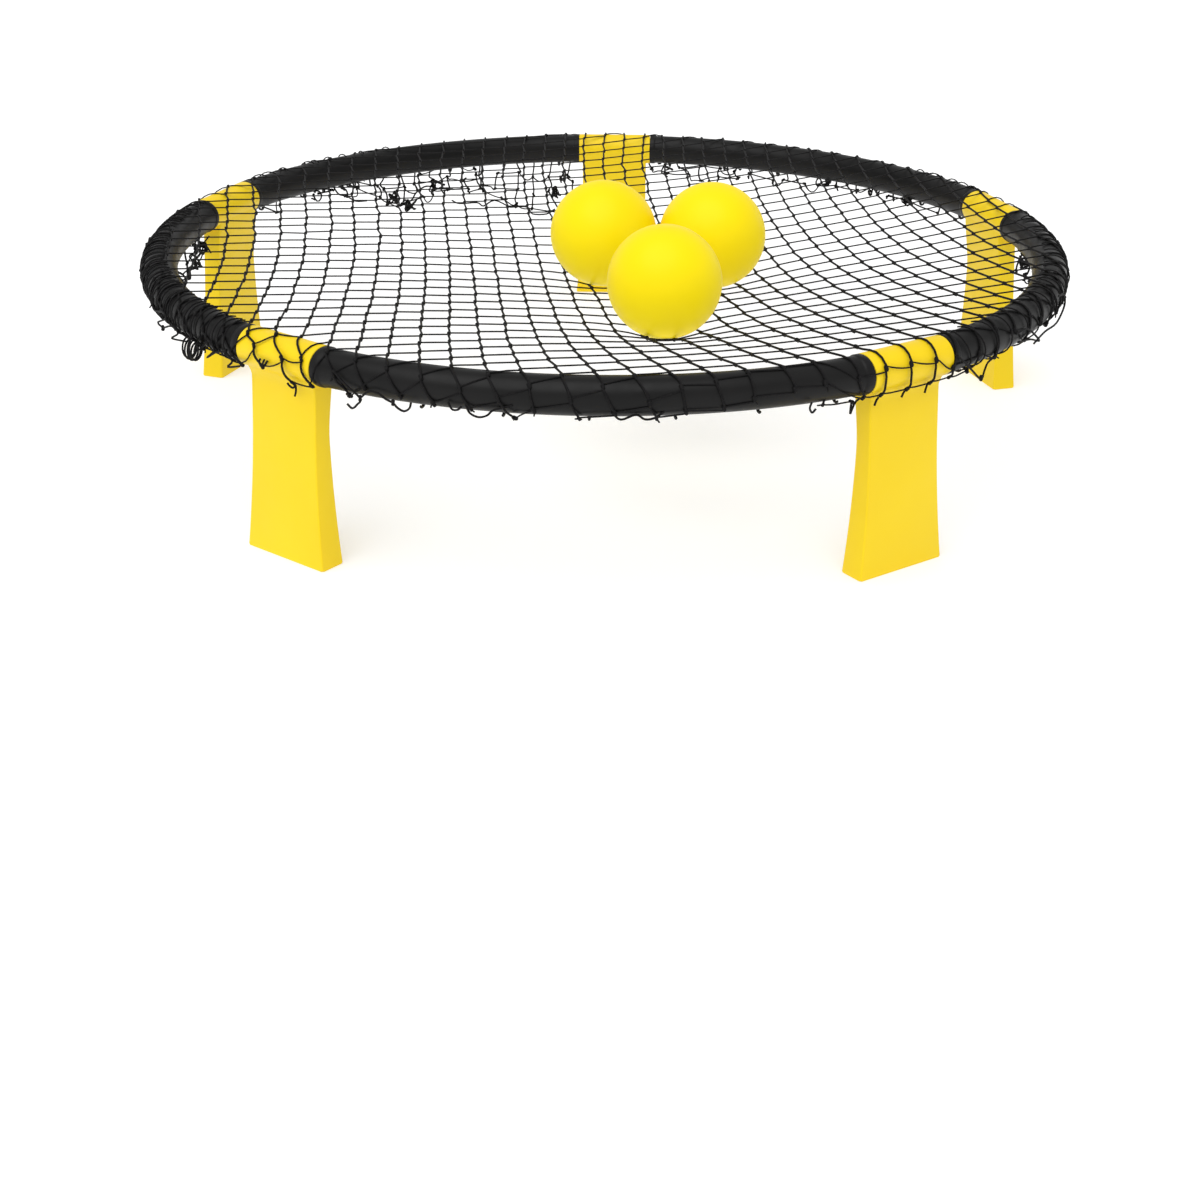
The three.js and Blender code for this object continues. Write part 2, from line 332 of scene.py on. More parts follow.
def spun(profile, sides):
    """A closed profile of (distance from the Y axis, y) turned round the Y axis."""
    made = bmesh.new()
    rings = []
    for k in range(sides):
        turn = 2 * math.pi * k / sides
        rings.append(
            [
                made.verts.new((r * math.cos(turn), y, r * math.sin(turn)))
                for r, y in profile
            ]
        )
    for k in range(sides):
        here, after = rings[k], rings[(k + 1) % sides]
        for m in range(len(profile)):
            n = (m + 1) % len(profile)
            made.faces.new((here[m], after[m], after[n], here[n]))
    bmesh.ops.remove_doubles(made, verts=made.verts, dist=1e-7)
    return made


def rounded(corners, radius, steps=4):
    """A closed outline with its corners rounded."""
    points = []
    count = len(corners)
    for i, corner in enumerate(corners):
        here = np.array(corner, float)
        before = np.array(corners[i - 1], float)
        after = np.array(corners[(i + 1) % count], float)
        to_before = (before - here) / np.linalg.norm(before - here)
        to_after = (after - here) / np.linalg.norm(after - here)
        half = math.acos(max(-1, min(1, to_before @ to_after))) / 2
        reach = min(
            radius / math.tan(half),
            0.45 * np.linalg.norm(before - here),
            0.45 * np.linalg.norm(after - here),
        )
        start, end = here + to_before * reach, here + to_after * reach
        for k in range(steps + 1):
            t = k / steps
            points.append(
                tuple((1 - t) ** 2 * start + 2 * t * (1 - t) * here + t * t * end)
            )
    return points


# ---- ring sections --------------------------------------------------------------------------

HOOKS = 7
HOOK_FROM_LEG = math.radians(9)


def section_path():
    """Centreline and radius of one section, whose middle is at azimuth 0."""
    lip, spigot_tip = 1.2 * MM, 1.0 * MM
    profile = [  # distance from the leg's middle, radius
        (spigot_tip, SPIGOT - 1.2 * MM),
        (spigot_tip + 0.4 * MM, SPIGOT - 0.4 * MM),
        (spigot_tip + 1.2 * MM, SPIGOT),
        (COLLAR_START - 0.8 * MM, SPIGOT),
        (COLLAR_START - 0.01 * MM, SPIGOT),
        (COLLAR_START, SPIGOT + 1.5 * MM),
        (COLLAR_START, SLEEVE - lip),
        (COLLAR_START + 0.3 * lip, SLEEVE - 0.3 * lip),
        (COLLAR_START + lip, SLEEVE),
        (COLLAR_END - 1.4 * MM, SLEEVE),
        (COLLAR_END - 0.5 * MM, SLEEVE - 0.3 * MM),
        (COLLAR_END + 0.2 * MM, TUBE + 0.1 * MM),
        (COLLAR_END + 1.2 * MM, TUBE),
    ]
    points, radii = [], []
    leg = np.array([math.cos(HALF_SECTION), math.sin(HALF_SECTION)])
    along = np.array([math.sin(HALF_SECTION), -math.cos(HALF_SECTION)])
    for distance, radius in profile:
        flat = FOLD * leg + distance * along
        if distance > BEND_START:
            turn = HALF_SECTION - math.asin(distance / RING)
            flat = RING * np.array([math.cos(turn), math.sin(turn)])
        points.append((flat[0], flat[1], 0))
        radii.append(radius)
    steps = 46
    edge = HALF_SECTION - math.asin(profile[-1][0] / RING)
    middle = [
        (RING * math.cos(turn), RING * math.sin(turn), 0)
        for turn in np.linspace(edge, -edge, steps)[1:-1]
    ]
    mirrored = [(x, -y, z) for x, y, z in reversed(points)]
    return (
        np.array(points + middle + mirrored),
        np.array(radii + [TUBE] * len(middle) + radii[::-1]),
    )


def hook(builder, azimuth):
    """A small moulded hook under the tube, its mouth towards the outside of the ring."""
    line = [  # mm outwards and up from the tube's lowest line, radius
        (-3, 1.5, 2.6),
        (-3, -1.2, 1.7),
        (-2.6, -2.6, 1.4),
        (-1.2, -3.6, 1.3),
        (1, -3.6, 1.2),
        (2.6, -2.6, 1.1),
        (3.1, -1.6, 0.7),
    ]
    points = [(RING + x * MM, 0, -TUBE + z * MM) for x, z, _ in line]
    radii = [radius for _, _, radius in line]
    turn = np.array(Matrix.Rotation(azimuth, 3, "Z"))
    builder.tube(np.array(points) @ turn.T, np.array(radii) * MM, 8)


def make_rim(material):
    points, radii = section_path()
    across = np.tile([0, 0, 1.0], (len(points), 1))
    span = HALF_SECTION - HOOK_FROM_LEG
    for i, section in enumerate(SECTIONS):
        builder = Builder()
        builder.tube(points, radii, 40, across)
        for k in range(HOOKS):
            hook(builder, -span + 2 * span * k / (HOOKS - 1))
        middle = LEG_AZIMUTH["rear"] + 2 * math.pi / 5 * (i + 0.5)
        place = Matrix.Translation((0, 0, RING_Z)) @ Matrix.Rotation(middle, 4, "Z")
        turn = np.array(place)
        builder.verts = [v @ turn[:3, :3].T + turn[:3, 3] for v in builder.verts]
        name = f"ring_section_{section}"
        builder.object(name, material, "frame", "rim_plastic", [f"rim_{section}"])


# ---- legs -----------------------------------------------------------------------------------

# In a leg's own frame: the slab's top, and its outer and inner face at the top and the foot.
SLAB_TOP = -6 * MM
SLAB_OUT_TOP, SLAB_OUT_FOOT = 5.2 * MM, 15.2 * MM
SLAB_IN_TOP, SLAB_IN_FOOT = -8.6 * MM, -9.6 * MM
# Half its width at the waist and the foot, and how far below the fold axis it starts to flare.
WAIST, FOOT = 38.8 * MM, 46.4 * MM
WAIST_BELOW, FLARE = 62 * MM, 1.8
WALL, POCKET_TOP = 2.6 * MM, -24 * MM
# Length and depth of the swelling into the sleeve, on the outer and the inner face.
NECK_OUT, NECK_IN = (25 * MM, 11 * MM), (70 * MM, 7 * MM)
PLUG_INSET, PLUG_THICK, PLUG_HOLE = 1.2 * MM, 5 * MM, 4 * MM


def half_width(below):
    share = max(0.0, (below - WAIST_BELOW) / (RING_Z - WAIST_BELOW))
    return WAIST + (FOOT - WAIST) * share**FLARE


def swell(below, length, depth):
    """How much thicker the slab grows towards the sleeve."""
    t = max(0.0, 1 - below / length)
    return depth * t * t * (3 - 2 * t)


def slab(bottom, top, inset, edge):
    """The leg's tapering slab in the leg's own frame, fold axis along Y at the origin."""
    made = bmesh.new()
    steps = 30
    rings = []
    for k in range(steps + 1):
        z = bottom + (top - bottom) * (1 - (1 - k / steps) ** 1.6)
        share = (SLAB_TOP - z) / (SLAB_TOP + RING_Z)
        outer = SLAB_OUT_TOP + (SLAB_OUT_FOOT - SLAB_OUT_TOP) * share
        inner = SLAB_IN_TOP + (SLAB_IN_FOOT - SLAB_IN_TOP) * share**3
        outer += swell(-z, *NECK_OUT) - inset
        inner -= swell(-z, *NECK_IN) - inset
        half = half_width(-z) - inset
        corners = [(outer, -half), (outer, half), (inner, half), (inner, -half)]
        outline = rounded(corners, edge, 4)
        rings.append([made.verts.new((x, y, z)) for x, y in outline])
    for here, above in zip(rings, rings[1:]):
        for m in range(len(here)):
            n = (m + 1) % len(here)
            made.faces.new((here[m], here[n], above[n], above[m]))
    foot = made.faces.new(rings[0][::-1])
    made.faces.new(rings[-1])
    if inset == 0:
        bmesh.ops.bevel(
            made,
            geom=list(foot.edges),
            offset=0.8 * MM,
            segments=2,
            affect="EDGES",
            clamp_overlap=True,
        )
    return made


def barrel():
    """The sleeve's outside, not bored yet."""
    lip, half = 1.4 * MM, SLEEVE_HALF
    return spun(
        [
            (BORE - 2 * MM, -half),
            (SLEEVE - lip, -half),
            (SLEEVE - 0.4 * lip, -half + 0.1 * lip),
            (SLEEVE - 0.1 * lip, -half + 0.4 * lip),
            (SLEEVE, -half + lip),
            (SLEEVE, half - lip),
            (SLEEVE - 0.1 * lip, half - 0.4 * lip),
            (SLEEVE - 0.4 * lip, half - 0.1 * lip),
            (SLEEVE - lip, half),
            (BORE - 2 * MM, half),
        ],
        72,
    )


def drill(radius, length, segments, place):
    """A cylinder to cut with."""
    made = bmesh.new()
    bmesh.ops.create_cone(
        made,
        cap_ends=True,
        segments=segments,
        radius1=radius,
        radius2=radius,
        depth=length,
        matrix=place,
    )
    return mesh_of(made, "drill")


def leg_mesh():
    body = mesh_of(slab(-RING_Z, SLAB_TOP, 0, 1.8 * MM), "slab")
    body = combined(body, [mesh_of(barrel(), "barrel")], "UNION")
    lengthwise = Matrix.Rotation(math.pi / 2, 4, "X")
    bore = drill(BORE, 2 * SLEEVE_HALF + 4 * MM, 48, lengthwise)
    pocket = slab(-RING_Z, POCKET_TOP, WALL, 1.0 * MM)
    bmesh.ops.translate(pocket, verts=pocket.verts, vec=(0, 0, -0.02 * MM))
    return combined(body, [bore, mesh_of(pocket, "pocket")], "DIFFERENCE")


def plug_mesh():
    bottom = -RING_Z + PLUG_INSET
    body = mesh_of(slab(bottom, bottom + PLUG_THICK, WALL + 0.3 * MM, 1.0 * MM), "plug")
    middle = Matrix.Translation(((SLAB_OUT_FOOT + SLAB_IN_FOOT) / 2, 0, bottom))
    return combined(body, [drill(PLUG_HOLE, 4 * PLUG_THICK, 24, middle)], "DIFFERENCE")


def make_legs(plastic, rubber):
    leg, plug = leg_mesh(), plug_mesh()
    for name in LEGS:
        joint = JOINTS[f"leg_fold_{name}"]
        turn = Matrix.Rotation(LEG_AZIMUTH[name], 4, "Z")
        place = Matrix.Translation(joint["pos_m"]) @ turn
        body = f"leg_{name}_body"
        for piece, mesh, material, slot, node in (
            ("folding_leg", leg, plastic, "leg_plastic", f"leg_{name}"),
            ("foot_plug", plug, rubber, "plug_rubber", f"foot_plug_{name}"),
        ):
            own = mesh.copy()
            own.transform(place)
            add_piece(f"{piece}_of_{name}", own, material, body, [node])


# ---- balls ----------------------------------------------------------------------------------


BALL_WALL, VALVE_HOLE = 2.5 * MM, 3.5 * MM


def ball_mesh():
    """A hollow ball with its valve hole at +Y."""
    start = math.asin(VALVE_HOLE / BALL_RADIUS)
    outer = [
        (BALL_RADIUS * math.sin(a), BALL_RADIUS * math.cos(a))
        for a in np.linspace(start + 0.02, math.pi, 60)
    ]
    lip = [
        (VALVE_HOLE, BALL_RADIUS - 0.8 * MM),
        (VALVE_HOLE + 0.3 * MM, BALL_RADIUS - 0.35 * MM),
    ]
    inside = BALL_RADIUS - BALL_WALL
    inner = [
        (inside * math.sin(a), inside * math.cos(a))
        for a in np.linspace(math.pi, math.asin(VALVE_HOLE / inside), 24)
    ]
    return mesh_of(spun(lip + outer + inner, 96), "ball")


def valve_mesh():
    """A flat button with a needle hole and a flange under the skin."""
    top = BALL_RADIUS - 0.4 * MM
    profile = [  # mm from the valve's axis, mm below its top
        (0.6, 3),
        (0.6, 0.5),
        (1.1, 0),
        (2.7, 0),
        (3.1, 0.4),
        (3.2, 4),
        (5.4, 4.1),
        (5.4, 5.6),
        (0.6, 5.6),
    ]
    return mesh_of(spun([(r * MM, top - below * MM) for r, below in profile], 28), "valve")


def make_balls(skin, rubber):
    ball, valve = ball_mesh(), valve_mesh()
    for name in BALLS:
        low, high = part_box(f"ball_valve_{name}")
        toward = ((low + high) / 2 - BALL_PLACE[name]).normalized()
        turn = Vector((0, 1, 0)).rotation_difference(toward).to_matrix().to_4x4()
        place = Matrix.Translation(BALL_PLACE[name]) @ turn
        body = f"ball_{name}_body"
        for piece, mesh, material, slot, node, angle in (
            ("play_ball_", ball, skin, "ball_rubber", "ball_", 40),
            ("valve_of_", valve, rubber, "valve_rubber", "ball_valve_", 30),
        ):
            own = mesh.copy()
            own.transform(place)
            add_piece(piece + name, own, material, body, [node + name], angle)


# ---- net ------------------------------------------------------------------------------------

COLUMN_CORD, ROW_CORD = 1.0 * MM, 0.7 * MM  # radii of the cords
CELLS = 26  # the net is laid out this many cells each way from its middle
FIT_CELLS = 18
# How the stretched net lies: mm for powers of (column / FIT_CELLS) and (row / FIT_CELLS).
STRETCH = {
    (0, 0): (15.7, 24.3),
    (1, 0): (383.8, 168.9),
    (0, 1): (-63.8, 461.8),
    (2, 0): (19.7, 67.4),
    (1, 1): (-1.2, 39.1),
    (0, 2): (16.7, 72.6),
    (3, 0): (37.2, 82.4),
    (2, 1): (31.0, 139.6),
    (1, 2): (91.9, 140.6),
    (0, 3): (6.8, 76.4),
    (4, 0): (-1.4, 28.1),
    (3, 1): (41.4, 86.2),
    (2, 2): (2.5, 78.1),
    (1, 3): (8.2, 54.0),
    (0, 4): (26.0, 36.2),
}
KNOT_HALF = 2.3 * MM  # from a knot's middle to where its cords leave it
KNOT_SHIFT = 0.8 * MM
NEAR_CROWN = 0.6 * TUBE  # how far inside the crown the net may touch the tube
HANG_FROM = 50 * MM  # how far beyond the ring's crown the net still lies on the tube
LOOSE_UNDER = 2 * MM  # how far it stands off under the tube and round the legs' necks
# Slack meshes on the two front sleeves: mm that their row and column cords bow, and for each
# knot its (column, row) and (azimuth, mm beyond the ring's crown).
SLACK_MESHES = [
    (
        (2.6, 2.6),
        {
            (-16, -10): (229.4, 44.0),
            (-15, -10): (231.5, 19.5),
            (-14, -10): (233.1, 2.0),
            (-13, -10): (235.5, -9.5),
            (-15, -11): (232.9, 36.3),
            (-14, -11): (235.9, 23.3),
            (-13, -11): (238.5, 19.7),
            (-14, -12): (236.9, 49.0),
            (-13, -12): (239.8, 45.1),
        },
    ),
    (
        (1.4, 0.0),
        {
            (3, -19): (298.4, 23.8),
            (4, -19): (301.7, 20.5),
            (5, -19): (305.0, 21.4),
            (6, -19): (308.5, 23.4),
            (7, -19): (311.2, 35.2),
            (3, -20): (299.3, 49.0),
            (4, -20): (301.5, 49.5),
            (5, -20): (305.0, 49.5),
            (6, -20): (308.3, 49.0),
            (7, -20): (311.3, 49.5),
        },
    ),
]


def flat_place(column, row):
    u, v = np.asarray(column) / FIT_CELLS, np.asarray(row) / FIT_CELLS
    x = sum(a * u**m * v**n for (m, n), (a, _) in STRETCH.items())
    y = sum(b * u**m * v**n for (m, n), (_, b) in STRETCH.items())
    return np.stack([x, y], -1) * MM


def polar(flat):
    return np.hypot(flat[..., 0], flat[..., 1]), np.arctan2(flat[..., 1], flat[..., 0])


def smooth_step(value, low, high):
    t = np.clip((value - low) / (high - low), 0, 1)
    return t * t * (3 - 2 * t)


def between(azimuth, low, high, soft=8):
    """1 between two azimuths in degrees, fading out over soft degrees."""
    degrees = (np.degrees(azimuth) - (low + high) / 2 + 180) % 360 - 180
    half = (high - low) / 2
    return 1 - smooth_step(np.abs(degrees), half, half + soft)


def waves(azimuth, seed, finest=40):
    """Smooth random waves round the ring, about 1 high."""
    draw = np.random.default_rng(seed)
    total = 0
    for k in range(4, finest, 3):
        total = total + draw.normal() * np.sin(k * azimuth + draw.uniform(0, 6.28))
    return total / math.sqrt((finest - 4) / 6)


def surface_radius(azimuth):
    """Radius of what the net lies on: the tube, a little more on the collars and sleeves."""
    off = np.full(np.shape(azimuth), 10.0)
    for leg in LEG_AZIMUTH.values():
        away = np.abs((azimuth - leg + np.pi) % (2 * np.pi) - np.pi) * RING
        off = np.minimum(off, away)
    on_sleeve = 1 - smooth_step(off, COLLAR_END - 1 * MM, COLLAR_END + 2 * MM)
    return TUBE + (SLEEVE - TUBE + 0.15 * MM) * on_sleeve


def spare_net(azimuth):
    """How far the net goes on beyond the ring's crown before it is cut."""
    length = 52 + 6 * between(azimuth, 25, 150)
    return length * MM


def under_balls(flat):
    """The height just below the balls, or a large number away from them."""
    low = np.full(flat.shape[:-1], 10.0)
    reach = BALL_RADIUS + COLUMN_CORD + 0.2 * MM
    for place in BALL_PLACE.values():
        off = np.hypot(flat[..., 0] - place.x, flat[..., 1] - place.y)
        under = place.z - np.sqrt(np.maximum(reach**2 - off**2, 0))
        low = np.where(off < reach, np.minimum(low, under), low)
    return low


def membrane():
    """The taut net's height on a square grid: level with the ring, pressed down by the balls."""
    steps, pitch = 56, 8 * MM
    line = np.arange(-steps, steps + 1) * pitch
    x, y = np.meshgrid(line, line, indexing="ij")
    height = np.full(x.shape, RING_Z + TUBE + COLUMN_CORD)
    ceiling = under_balls(np.stack([x, y], -1))
    free = np.hypot(x, y) < RING - 4 * MM
    chequer = np.indices(x.shape).sum(0) % 2
    for _ in range(300):
        for colour in (0, 1):
            beside = (np.roll(height, step, axis) for axis in (0, 1) for step in (1, -1))
            mean = sum(beside) / 4
            eased = np.minimum(height + 1.8 * (mean - height), ceiling)
            height = np.where(free & (chequer == colour), eased, height)
    return line, height


def height_at(grid, flat):
    """The membrane's height at flat places, between the grid's values."""
    line, height = grid
    share = (flat - line[0]) / (line[1] - line[0])
    share = np.clip(share, 0, len(line) - 1.001)
    low = share.astype(int)
    u, v = (share - low)[..., 0], (share - low)[..., 1]
    i, j = low[..., 0], low[..., 1]
    return (
        height[i, j] * (1 - u) * (1 - v)
        + height[i + 1, j] * u * (1 - v)
        + height[i, j + 1] * (1 - u) * v
        + height[i + 1, j + 1] * u * v
    )


def draped(flat, height, lift):
    """Places in space, and directions away from the surface, for flat places of the net.

    Beyond the ring's crown the net bends round the outside of the tube.
    """
    reach, azimuth = polar(flat)
    beyond = reach - RING
    off_neck = LOOSE_UNDER * smooth_step(beyond, 32 * MM, 46 * MM)
    around = surface_radius(azimuth) + lift + off_neck
    turn = np.pi / 2 - np.clip(beyond, -NEAR_CROWN, HANG_FROM) / around
    radial = RING + around * np.cos(turn)
    z = RING_Z + around * np.sin(turn)
    out = np.stack([np.cos(azimuth), np.sin(azimuth)], -1)
    inside = beyond < 0
    on_crown = np.where(beyond > -NEAR_CROWN, z, -1)
    z = np.where(inside, np.maximum(height, on_crown), z)
    radial = np.where(inside, reach, radial)
    place = np.concatenate([out * radial[..., None], z[..., None]], -1)
    normal = np.concatenate([out * np.cos(turn)[..., None], np.sin(turn)[..., None]], -1)
    return place, np.where(inside[..., None], [0, 0, 1.0], normal)


def unit(vectors):
    return vectors / (np.linalg.norm(vectors, axis=-1)[..., None] + 1e-12)


def curve(points, per_span=4):
    """A smooth curve through the points."""
    points = np.asarray(points, float)
    before, after = 2 * points[:1] - points[1:2], 2 * points[-1:] - points[-2:-1]
    padded = np.concatenate([before, points, after])
    made = []
    for a, b, c, d in zip(padded, padded[1:], padded[2:], padded[3:]):
        for t in np.linspace(0, 1, per_span, endpoint=False):
            made.append(
                b
                + 0.5 * t * (c - a)
                + t * t * (a - 2.5 * b + 2 * c - 0.5 * d)
                + t**3 * 0.5 * (3 * b - a - 3 * c + d)
            )
    return np.array(made + [points[-1]])


def add_knot(builder, place, up, out, size=1.0):
    """A small bound knot, longest along up, with a groove between its turns."""
    lean = np.linspace(0, np.pi, 7)[1:-1]
    turn = np.linspace(0, 2 * np.pi, 8, endpoint=False)
    side = unit(np.cross(up, out))
    out = np.cross(side, up)
    bulge = 1 - 0.16 * np.cos(4 * lean)[:, None]
    bulge = bulge + 0.12 * np.cos(2 * turn[None] + 3 * lean[:, None])
    wide = np.sin(lean)[:, None] * 1.8 * MM * size * bulge
    points = (
        place
        + up * (-np.cos(lean) * 3.1 * MM * size)[:, None, None]
        + side * (wide * np.cos(turn))[..., None]
        + out * (wide * np.sin(turn))[..., None]
    )
    builder.grid(points)


class Net:
    """The knots of the net, and the cords between them."""

    def __init__(self):
        steps = np.arange(-CELLS, CELLS + 1)
        column, row = np.meshgrid(steps, steps, indexing="ij")
        self.grid = membrane()
        self.flat = flat_place(column, row)
        reach, azimuth = polar(self.flat)
        self.exists = reach < RING + spare_net(azimuth) + 4 * MM * waves(azimuth, 8, 60)
        self.drop_strays()
        self.up, self.side = self.direction(1), self.direction(0)
        loose = 0.4 + 1.2 * smooth_step(reach, RING - 10 * MM, RING + 30 * MM)
        loose = loose + 0.5 * between(azimuth, 80, 190) * (reach > 200 * MM)
        self.flat = self.flat + rng.normal(0, 1, self.flat.shape) * loose[..., None] * MM
        self.lay_slack_meshes()
        self.height = np.minimum(
            height_at(self.grid, self.flat) + rng.normal(0, 0.25, reach.shape) * MM,
            under_balls(self.flat),
        )
        self.place, self.normal = draped(self.flat, self.height, COLUMN_CORD)
        self.hang()

    def lay_slack_meshes(self):
        """Puts the knots of SLACK_MESHES in their places."""
        self.by_hand = np.zeros(self.exists.shape, bool)
        self.bow = np.zeros((*self.exists.shape, 2))
        for bow, knots in SLACK_MESHES:
            for (column, row), (azimuth, beyond) in knots.items():
                knot = (column + CELLS, row + CELLS)
                turn = math.radians(azimuth)
                way = np.array([math.cos(turn), math.sin(turn)])
                self.flat[knot] = way * (RING + beyond * MM)
                self.exists[knot] = self.by_hand[knot] = True
                self.bow[knot] = np.array(bow) * MM

    def drop_strays(self):
        """Leaves out knots that only one cord would reach."""
        for _ in range(2):
            linked = sum(
                np.roll(self.exists, step, axis).astype(int)
                for axis in (0, 1)
                for step in (1, -1)
            )
            self.exists &= linked > 1

    def direction(self, axis):
        return unit(np.gradient(self.flat, axis=axis))

    def hang(self):
        """Lets the net beyond the underside of the tube hang down, crumpled."""
        reach, azimuth = polar(self.flat)
        spare = np.maximum(reach - RING - HANG_FROM, 0)
        self.slack = spare > 0
        out = np.stack([np.cos(azimuth), np.sin(azimuth), 0 * azimuth], -1)
        crumple = rng.normal(0, 1, self.place.shape) * 5 * MM
        share = np.clip(spare / (12 * MM), 0, 1)[..., None]
        self.place += crumple * share - out * (4 * MM * share)
        self.place[..., 2] -= 0.62 * spare + 2 * MM * share[..., 0]
        tilt = unit(rng.normal(0, 1, self.normal.shape))
        self.normal = unit(self.normal + tilt * self.slack[..., None])

    def shift(self, knot, axis):
        """From a knot's middle to where a cord of one direction leaves it."""
        shift = self.up[knot] * KNOT_HALF
        if axis == 1:
            shift = shift + self.side[knot] * KNOT_SHIFT
        return shift

    def taut_cord(self, here, after, axis):
        a = self.flat[here] + self.shift(here, axis)
        b = self.flat[after] - self.shift(after, axis)
        reach = max(np.hypot(*a), np.hypot(*b))
        t = np.linspace(0, 1, 3 if reach < RING - TUBE else 6)[:, None]
        flat = a + (b - a) * t
        if self.by_hand[here] and self.by_hand[after]:
            out = unit(a + b)
            way = out if axis == 0 else np.array([out[1], -out[0]])
            flat += way * self.bow[here][axis] * np.sin(np.pi * t)
        high = np.minimum(height_at(self.grid, flat), under_balls(flat))
        return draped(flat, high, (ROW_CORD, COLUMN_CORD)[axis])

    def cords(self, builder, axis):
        radius = (ROW_CORD, COLUMN_CORD)[axis]
        size = self.exists.shape[0]
        for k in range(size):
            run = []
            for m in range(size - 1):
                here, after = ((m, k), (m + 1, k)) if axis == 0 else ((k, m), (k, m + 1))
                joined = self.exists[here] and self.exists[after]
                slack = self.slack[here] or self.slack[after]
                if joined and slack:
                    slack_cord(builder, self.place[here], self.place[after], radius)
                if joined and not slack:
                    run.append(self.taut_cord(here, after, axis))
                if run and (slack or not joined or m == size - 2):
                    place, normal = (np.concatenate(part) for part in zip(*run))
                    builder.tube(place, radius, 6, normal)
                    run = []

    def stubs(self, builder):
        """Short cut ends at the net's edge."""
        for knot in zip(*np.nonzero(self.exists & ~self.by_hand)):
            share = 0.35 if self.slack[knot] else 0.7
            for axis, step in ((0, 1), (0, -1), (1, 1), (1, -1)):
                beside = list(knot)
                beside[axis] += step
                if self.exists[tuple(beside)] or rng.random() > share:
                    continue
                way = (self.side, self.up)[axis][knot] * step
                length = rng.uniform(4, 7) * MM
                flat = self.flat[knot] + way * np.linspace(0, 1, 4)[:, None] * length
                place, normal = draped(flat, height_at(self.grid, flat), ROW_CORD)
                place += self.place[knot] - place[0]
                curl = unit(rng.normal(0, 1, 3)) * 2 * MM + normal[-1] * 1.5 * MM
                place += curl * (np.linspace(0, 1, 4) ** 2)[:, None]
                builder.tube(place, ROW_CORD, 6)

    def knots(self, builder):
        for knot in zip(*np.nonzero(self.exists)):
            flat = np.stack([self.flat[knot], self.flat[knot] + self.up[knot] * MM])
            along, _ = draped(flat, np.full(2, self.height[knot]), COLUMN_CORD)
            up = unit(along[1] - along[0])
            if self.slack[knot]:
                up = unit(up + rng.normal(0, 0.7, 3))
            size = rng.uniform(0.88, 1.1)
            add_knot(builder, self.place[knot], up, self.normal[knot], size)

    def build(self, material):
        builder = Builder()
        self.cords(builder, 0)
        self.cords(builder, 1)
        self.knots(builder)
        self.stubs(builder)
        builder.object("knotted_net", material, "frame", "net_cord", ["net"])


# ---- loose ends of the net ------------------------------------------------------------------

# Each strand: mm outside the tube's centreline, then (azimuth, mm above the tube's middle).
STRANDS = [
    (19, [(242.9, 7), (244.3, -3), (246.1, -13), (245.7, -19), (245.1, -23), (244.5, -20)]),
    (19, [(246.1, -13), (247.1, -6), (248.2, -6), (249.1, -10), (249.9, -12)]),
    (19, [(249.9, -12), (250.4, -16), (251.1, -18), (251.7, -15), (251.9, -10)]),
    (17, [(255.8, -6), (256.2, -12), (256.8, -12), (257.2, -9)]),
    (16, [(257.6, -7), (258, -14), (258.9, -17), (259.8, -15), (260.5, -10), (262.4, -5)]),
    (17, [(292.9, -10), (292.7, -15), (293, -19), (293.4, -16)]),
    (14, [(272.3, -9), (273.2, -15), (274.7, -11), (275.6, -15), (276.6, -14), (277.5, -9)]),
    (20, [(311.5, 5), (313.7, -10), (315.8, -24), (316.3, -18), (316.9, -11), (318.4, -8)]),
    (19, [(322.7, 3), (325.4, 2), (328.3, -11), (329.4, -18), (326.5, -10), (323.3, -6)]),
    (22, [(334.3, 14), (337.2, 9), (338.2, -4), (334.5, -12), (330, -10), (326.8, -14)]),
    (20, [(207.6, -2), (208.9, -5), (212.2, 1), (213.1, -3), (209.8, -14), (211.7, -15)]),
    (20, [(211.7, -15), (214.9, -6), (216.6, -9), (214.6, -18), (218.6, -12)]),
    (18, [(221.4, -14), (223.6, -1), (224.5, -8), (222.9, -18), (224.9, -9), (226.8, -5)]),
    (18, [(226.8, -5), (227.9, -11), (227, -18), (229.2, -13)]),
    (18, [(233.1, -7), (232.5, -4), (232.7, 0)]),
    (19, [(233.2, -6), (233.2, -3), (233.5, 1)]),
    (18, [(233.1, -7), (233.5, -3), (233.8, 0)]),
    (11, [(236.9, -18), (236.9, -23), (236.7, -28)]),
    (11, [(236.9, -18), (236.5, -21), (236.0, -20), (235.7, -18)]),
    (11, [(301.5, -18), (301.2, -21), (301.0, -25)]),
    (11, [(305.0, -18), (304.8, -20), (304.6, -23)]),
    (10, [(308.6, -16), (308.3, -20), (308.1, -25)]),
    (-6, [(138.5, -12), (138.1, -19), (137.3, -26), (135.9, -30), (134.2, -38), (132.2, -40)]),
    (-8, [(126.3, -53), (124.3, -48), (123.3, -39), (121.5, -33), (119.2, -38), (116.9, -39)]),
    (-9, [(117.2, -54), (115.9, -59), (112.9, -60), (111.8, -65), (109.9, -59), (107.3, -69)]),
    (-9, [(107.3, -69), (104.4, -70), (103.6, -79), (101.2, -80), (99.8, -74)]),
]
# Knots on them: mm outside the tube's centreline, azimuth, mm above its middle.
STRAND_KNOTS = [
    (19, 246.1, -13),
    (19, 249.9, -12),
    (20, 315.8, -23),
    (20, 211.7, -15),
    (18, 226.8, -5),
]
